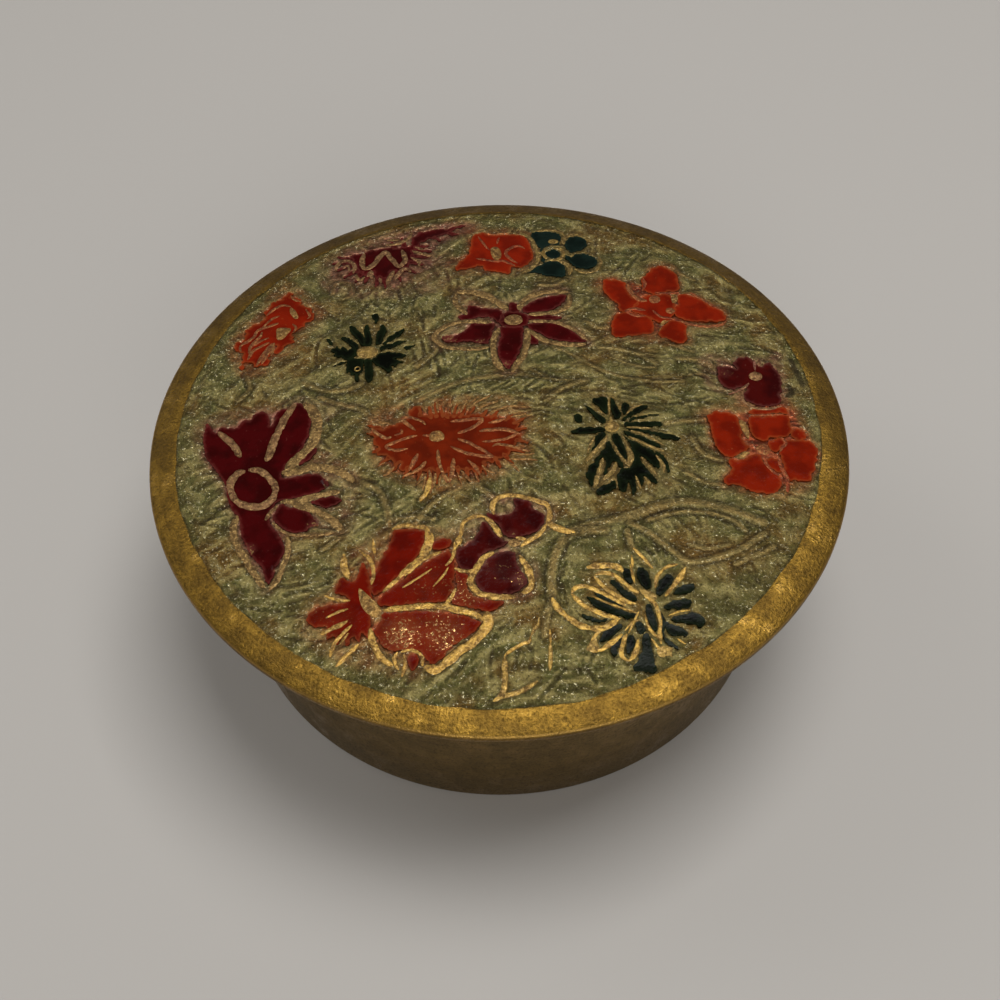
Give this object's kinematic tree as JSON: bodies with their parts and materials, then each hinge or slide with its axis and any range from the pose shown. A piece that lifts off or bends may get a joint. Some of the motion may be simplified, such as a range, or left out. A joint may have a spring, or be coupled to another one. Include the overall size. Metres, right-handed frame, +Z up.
{
  "type": "paan box",
  "caption": "Round brass box with an upright turned cup and a wide lift-off lid, its domed top enamelled with flowers between raised brass lines.",
  "frame": {"origin": "middle of the cup's flat underside, on the surface that the box stands on", "axes": "+Z up along the turned axis of the cup and the lid; +Y away from the side that faces the picture's camera; +X to its right"},
  "size_m": [0.1, 0.1, 0.0363],
  "materials": {
    "cup_brass": "turned and brushed brass, dulled",
    "lid_brass": "worn polished brass",
    "sage_enamel": "thin greenish lacquer over stippled brass",
    "crimson_enamel": "glossy enamel",
    "orange_enamel": "glossy enamel",
    "brick_enamel": "glossy enamel",
    "maroon_enamel": "glossy enamel",
    "green_enamel": "glossy enamel"
  },
  "bodies": {
    "box": {"cup": "cup_brass"},
    "lid": {"lid_plate": "lid_brass", "raised_lines": "lid_brass", "lid_collar": "cup_brass", "ground_enamel": "sage_enamel", "lily_crimson": "crimson_enamel", "tuft_orange": "orange_enamel", "daisy_green_left": "green_enamel", "spray_crimson": "crimson_enamel", "blossom_orange": "orange_enamel", "clover_green": "green_enamel", "star_orange": "orange_enamel", "star_crimson": "crimson_enamel", "aster_brick": "brick_enamel", "daisy_green_right": "green_enamel", "violet_maroon": "maroon_enamel", "mallow_orange": "orange_enamel", "poppy_red": "brick_enamel", "pansy_maroon": "maroon_enamel", "daisy_green_front": "green_enamel"}
  },
  "joints": [
    {"name": "lid_lift", "type": "slide", "parent": "box", "child": "lid", "axis": [0, 0, 1], "range_m": [0, 0.06]}
  ]
}
